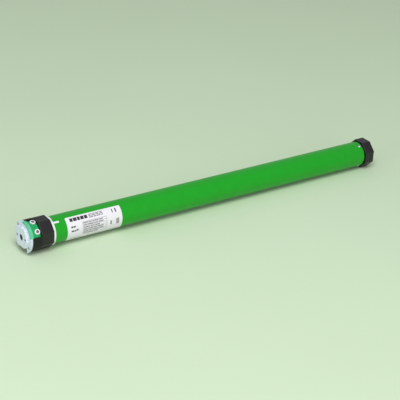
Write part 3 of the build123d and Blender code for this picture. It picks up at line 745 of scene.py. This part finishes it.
def make_head_plate():
    """Die-cast plate with a lobed boss, blind holes, a cable recess and a notch for the adjuster block."""
    foot = STAR_R + STAR_FLARE
    flare = [(1.5, foot), (-0.05, foot), (-0.15, STAR_R + 0.15), (-0.5, STAR_R)]
    edge = STAR_EDGE
    lip = [(BOSS_START + edge * (1 - sin(a)), STAR_R - edge * (1 - cos(a))) for a in QUARTER]
    boss = swept(flare + lip, star, closed=False)
    front, back = PLATE_FRONT_EDGE, PLATE_BACK_EDGE
    rim = [(front * (1 - cos(a)), PLATE_R - front * (1 - sin(a))) for a in QUARTER]
    rim += [(PLATE_END - back * (1 - sin(a)), PLATE_R - back * (1 - cos(a))) for a in QUARTER]
    plate = swept(rim, closed=False)
    combine(plate, [boss], "UNION")
    behind = PLATE_END + 1
    cutters = [bored(BOSS_START, BLIND_DEPTH, BORE_R, lead=0.8, count=96)]
    for phi in BOLT_ANGLES:
        cutters.append(at_place(bored(BOSS_START, BLIND_DEPTH, BOLT_R), BOLT_CIRCLE_R, phi))
    for phi in SCREW_ANGLES:
        sink = [(-0.3, SCREW_HEAD_R + 0.25), (0, SCREW_HEAD_R + SCREW_PLAY),
                (SCREW_SINK, SCREW_R + SCREW_PLAY), (behind, SCREW_R + SCREW_PLAY)]
        cutters.append(at_place(swept(sink, sides(48), closed=False), SCREW_CIRCLE_R, phi))
    cutters.append(brick(BOSS_START - 1, behind, -RECESS_HALF, RECESS_HALF, -2 * PLATE_R, -RECESS_TOP_R))
    notch = [(-1, NOTCH_R), (behind, NOTCH_R), (behind, PLATE_R + 2), (-1, PLATE_R + 2)]
    cutters.append(arched(notch, *WINDOW_PHI))
    combine(plate, cutters, "DIFFERENCE")
    casting = piece(plate, "head_casting", "motor_body", MATERIALS["head_zinc"], ["head_plate"],
                    bevel=0.1, sharp=CAST_SHARP)
    holes = [(Vector((0, 0, 0)), BORE_R)] + [(at(0, BOLT_CIRCLE_R, phi), BOLT_R) for phi in BOLT_ANGLES]

    def in_hole(place):
        if not BOSS_START + 1.0 < place.x < BOSS_START + BLIND_DEPTH + NEAR:
            return False
        across = Vector((0, place.y, place.z))
        return any((across - middle).length < radius + NEAR for middle, radius in holes)

    # Painted shade inside the bore and the blind holes
    darkened(casting, MATERIALS["zinc_shadow"], in_hole)


def make_plate_screws():
    """Countersunk screws with a cross recess."""
    outline = [(0.12, SCREW_HEAD_R - 0.5), (0.02, SCREW_HEAD_R - 0.25), (0.02, SCREW_HEAD_R - 0.1),
               (0.1, SCREW_HEAD_R - 0.02), (SCREW_SINK, SCREW_R), (SCREW_END, SCREW_R)]
    arm, half, depth = 1.5, 0.32, 1.3
    screws = []
    for phi in SCREW_ANGLES:
        screw = swept(outline, sides(48), closed=False)
        recess = [brick(-0.5, depth, -arm, arm, -half, half), brick(-0.5, depth, -half, half, -arm, arm)]
        screws.append(at_place(combine(screw, recess, "DIFFERENCE"), SCREW_CIRCLE_R, phi))
    piece(joined(screws), "plate_screw_set", "motor_body", MATERIALS["steel"], ["plate_screws"])


def make_collar():
    """The solid's own collar, with its edge beside the running ring rounded."""
    collar = cad_copy("head_collar")
    low, high, radius, inner = COLLAR_START - 0.1, COLLAR_END - 0.01, COLLAR_R - 0.01, 3.0
    shell = [(low, radius, 0), (high, radius, COLLAR_EDGE), (high, inner, 0), (low, inner, 0)]
    combine(collar, [swept(rounded(shell, 6))], "INTERSECT")
    piece(collar, "collar_moulding", "motor_body", MATERIALS["black_plastic"],
          ["head_collar"], bevel=0.14, sharp=MOULDED_SHARP)


def make_adjuster_block():
    """Emerald block: a rim that reaches into the plate's notch, painted lighter for the light it catches, and
    the bed of the adjusters.
    """
    lip_r = NOTCH_R + BLOCK_GAP
    rim = rounded([(BLOCK_START, BLOCK_R, BLOCK_EDGE), (BLOCK_RIM_END, BLOCK_R, BLOCK_EDGE),
                   (BLOCK_RIM_END, BLOCK_INNER_R, 0), (PLATE_END, BLOCK_INNER_R, 0), (PLATE_END, lip_r, 0),
                   (BLOCK_START, lip_r, 0.1)], 4)
    bed = rounded([(BLOCK_RIM_END, BLOCK_FLOOR_R, 0), (BLOCK_END, BLOCK_FLOOR_R, 0.3),
                   (BLOCK_END, BLOCK_INNER_R, 0), (BLOCK_RIM_END, BLOCK_INNER_R, 0)], 4)
    # The rim takes the lighter copy of the emerald moulding, as painted light
    piece(arched(rim, *BLOCK_PHI), "adjuster_rim", "motor_body", MATERIALS["emerald_painted_light"],
          ["adjuster_block"], bevel=0.12, sharp=MOULDED_SHARP)
    block = arched(bed, *BLOCK_PHI)
    holes = [radial_turn(ADJUSTER_X, phi, ADJUSTER_HOLE, sides(32)) for phi in ADJUSTER_ANGLES.values()]
    combine(block, holes, "DIFFERENCE")
    piece(block, "adjuster_bed", "motor_body", MATERIALS["emerald_plastic"],
          ["adjuster_block"], bevel=0.12, sharp=MOULDED_SHARP)


def make_adjusters():
    """White adjuster heads with a fluted side and a hex recess, on the solids' own shanks and pinions."""
    low, top, radius = ADJUSTER_LOW, ADJUSTER_TOP, ADJUSTER_HEAD_R
    outline = [(low, radius - 0.6), (low + 0.1, radius - 0.2), (low + 0.35, radius), (top - 0.45, radius),
               (top - 0.22, radius - 0.08), (top - 0.08, radius - 0.25), (top, radius - 0.55),
               (top, ADJUSTER_KEY_R + 0.7), (top - 0.15, ADJUSTER_KEY_R + 0.4)]

    def side(r):
        return fluted(r) if r > radius - 0.24 else circle(r, 160)

    for name, phi in ADJUSTER_ANGLES.items():
        head = radial_turn(ADJUSTER_X, phi, outline, side)
        recess = [(top - ADJUSTER_KEY_DEPTH, ADJUSTER_KEY_R), (top + 0.2, ADJUSTER_KEY_R)]
        combine(head, [radial_turn(ADJUSTER_X, phi, recess, hexagon)], "DIFFERENCE")
        stem = cad_copy("adjuster_" + name)
        below = [(ADJUSTER_STEM_START, ADJUSTER_STEM_REACH), (low + 0.1, ADJUSTER_STEM_REACH)]
        combine(stem, [radial_turn(ADJUSTER_X, phi, below, sides(32))], "INTERSECT")
        combine(head, [stem], "UNION")
        knob = piece(head, "adjuster_knob_" + name, "adjuster_" + name, MATERIALS["white_plastic"],
                     ["adjuster_" + name], bevel=0.06, sharp=KNOB_SHARP)
        out = at(0, 1, phi)

        def in_key(place):
            rise = place.dot(out)
            aside = (place - Vector((ADJUSTER_X, 0, 0)) - out * rise).length
            return top - ADJUSTER_KEY_DEPTH - NEAR < rise < top - 0.12 and aside < ADJUSTER_KEY_R + NEAR

        # Painted shade inside the hex recess
        darkened(knob, MATERIALS["white_shadow"], in_key)


def make_running_ring():
    """The solid's own ring with its inner teeth, with the outer edges rounded."""
    ring = cad_copy("running_ring")
    radius, inner = OCTAGON_R - RING_SKIN, 1.0
    outline = [(RING_START, radius, RING_EDGE), (RING_END, radius, RING_EDGE), (RING_END, inner, 0),
               (RING_START, inner, 0)]
    combine(ring, [swept(rounded(outline, 6), octagon)], "INTERSECT")
    piece(ring, "ring_moulding", "running_ring", MATERIALS["lit_black_octagon"],
          ["running_ring"], bevel=0.12, sharp=MOULDED_SHARP)


def make_retaining_ring():
    """White ring that holds the running ring, with a tab that lies on the tube."""
    corners = [(RETAINER_START, RETAINER_R), (RETAINER_END, RETAINER_R), (RETAINER_END, RETAINER_INNER_R),
               (RETAINER_START, RETAINER_INNER_R)]
    ring = swept(rounded([(x, r, edge) for (x, r), edge in zip(corners, RETAINER_EDGES)], 4))
    half = degrees(TAB_WIDTH / 2 / TAB_TOP_R)
    mesh = bmesh.new()
    curved_patch(mesh, TAB_START, TAB_END, TAB_PHI - half, TAB_PHI + half, TAB_LOW_R, TAB_TOP_R,
                 corner=TAB_CORNER, turns=8)
    combine(ring, [raw(mesh)], "UNION")
    piece(ring, "retainer_moulding", "motor_body", MATERIALS["white_plastic"],
          ["retaining_ring"], bevel=0.12, sharp=MOULDED_SHARP)


# Drive end

def make_drive_wheel():
    """Octagonal wheel: rounded rim, web, hub and ribs joined into one moulding."""
    low, high = WHEEL_START, WHEEL_END
    inner_r = OCTAGON_R - WHEEL_RIM
    rim = swept(rounded([(low, OCTAGON_R, WHEEL_EDGE), (high, OCTAGON_R, WHEEL_EDGE),
                         (high, inner_r, WHEEL_INNER_EDGE), (low, inner_r, WHEEL_INNER_EDGE)], 5), octagon)
    core_r = SHAFT_R - 3.0
    hub = swept(rounded([(low, WHEEL_HUB_R, WHEEL_HUB_EDGE), (high, WHEEL_HUB_R, WHEEL_HUB_EDGE),
                         (high, core_r, 0), (low, core_r, 0)], 4), sides(96))
    web = [(WEB_START, core_r + 0.5), (WEB_START, WEB_R), (WEB_END, WEB_R), (WEB_END, core_r + 0.5)]
    rib_high = (inner_r + WHEEL_RIM / 2) / cos(pi / 8)
    inset = WHEEL_RIM / 2
    ribs = []
    for rib in range(8):
        bar = brick(low + inset, high - inset, -RIB_T / 2, RIB_T / 2, RIB_LOW, rib_high)
        ribs.append(spun(bar, 22.5 + 45 * rib))
    combine(rim, [swept(web, sides(96)), hub], "UNION")
    combine(rim, [joined(ribs)], "UNION")
    bore = swept([(low - 1, SHAFT_R), (high + 1, SHAFT_R)], flatted, closed=False)
    combine(rim, [bore], "DIFFERENCE")
    piece(rim, "wheel_moulding", "output", MATERIALS["lit_black_octagon"], ["drive_wheel"],
          bevel=0.15, sharp=MOULDED_SHARP)


def make_wheel_screw():
    """Cap screw over a chamfered washer, on the solid's own shank."""
    screw = cad_copy("wheel_screw")
    combine(screw, [swept(BOLT_SHANK, sides(48), closed=False)], "INTERSECT")
    washer = swept(rounded([(WHEEL_END, WASHER_R, 0.1), (WASHER_END, WASHER_R, 0.3), (WASHER_END, 2.0, 0),
                            (WHEEL_END, 2.0, 0)], 3), sides(96))
    radius = BOLT_HEAD_R
    head = swept([(WASHER_END - 0.5, radius - 0.2), (WASHER_END - 0.1, radius), (BOLT_END - 0.5, radius),
                  (BOLT_END - 0.2, radius - 0.1), (BOLT_END - 0.05, radius - 0.3), (BOLT_END, radius - 0.6)],
                 sides(72), closed=False)
    combine(screw, [washer, head], "UNION")
    recess = [(BOLT_END - BOLT_KEY_DEPTH, BOLT_KEY_R), (BOLT_END + 0.3, BOLT_KEY_R)]
    combine(screw, [swept(recess, hexagon, closed=False)], "DIFFERENCE")
    piece(screw, "wheel_bolt", "output", MATERIALS["steel"], ["wheel_screw"], bevel=0.08,
          sharp=MOULDED_SHARP)


def dress_inner_nodes():
    """Gives every solid the finish of its slot."""
    slots = {part["node"]: part["material_slot"] for part in frame["record"]["subparts"]}
    for name, shape in NODES.items():
        shape.data.materials.clear()
        shape.data.materials.append(MATERIALS[slots[name]])


# Stage

def make_stage():
    """Floor that slopes by two millimetres, so that it meets the head as well as the wheel's flat."""
    rest_head = (PLATE_END, -PLATE_R)
    rest_wheel = (WHEEL_END, -OCTAGON_R)
    slope = (rest_wheel[1] - rest_head[1]) / (rest_wheel[0] - rest_head[0])
    mesh = bmesh.new()
    half = FLOOR_HALF
    corners = []
    for x, y in ((-half, -half), (half, -half), (half, half), (-half, half)):
        corners.append(mesh.verts.new((x, y, rest_head[1] + slope * (x - rest_head[0]))))
    mesh.faces.new(corners)
    floor = raw(mesh)
    for vertex in floor.data.vertices:
        vertex.co *= MM
    floor.name = "floor"
    floor.data.materials.append(finish("floor", (202, 221, 190), 0.85, spread=0.01, patch=3, grain=300,
                                       depth=0.01, specular=0.2))

    world = bpy.data.worlds.new("studio")
    bpy.context.scene.world = world
    world.use_nodes = True
    background = world.node_tree.nodes["Background"]
    background.inputs["Color"].default_value = WORLD_COLOUR
    background.inputs["Strength"].default_value = WORLD_STRENGTH


def lamp(name, place, target, size, power):
    data = bpy.data.lights.new(name, "AREA")
    data.shape = "DISK"
    data.size = size
    data.energy = power
    made = bpy.data.objects.new(name, data)
    made.location = place
    made.rotation_euler = (Vector(target) - Vector(place)).to_track_quat("-Z", "Y").to_euler()
    bpy.context.collection.objects.link(made)


MATERIALS = make_materials()
INKS = ink_materials()
make_camera()
dress_inner_nodes()
make_tube()
make_rivets()
make_label()
make_head_plate()
make_plate_screws()
make_collar()
make_adjuster_block()
make_adjusters()
make_running_ring()
make_retaining_ring()
make_drive_wheel()
make_wheel_screw()
make_stage()
for settings in LAMPS:
    lamp(*settings)

bpy.context.scene.view_settings.view_transform = "Standard"
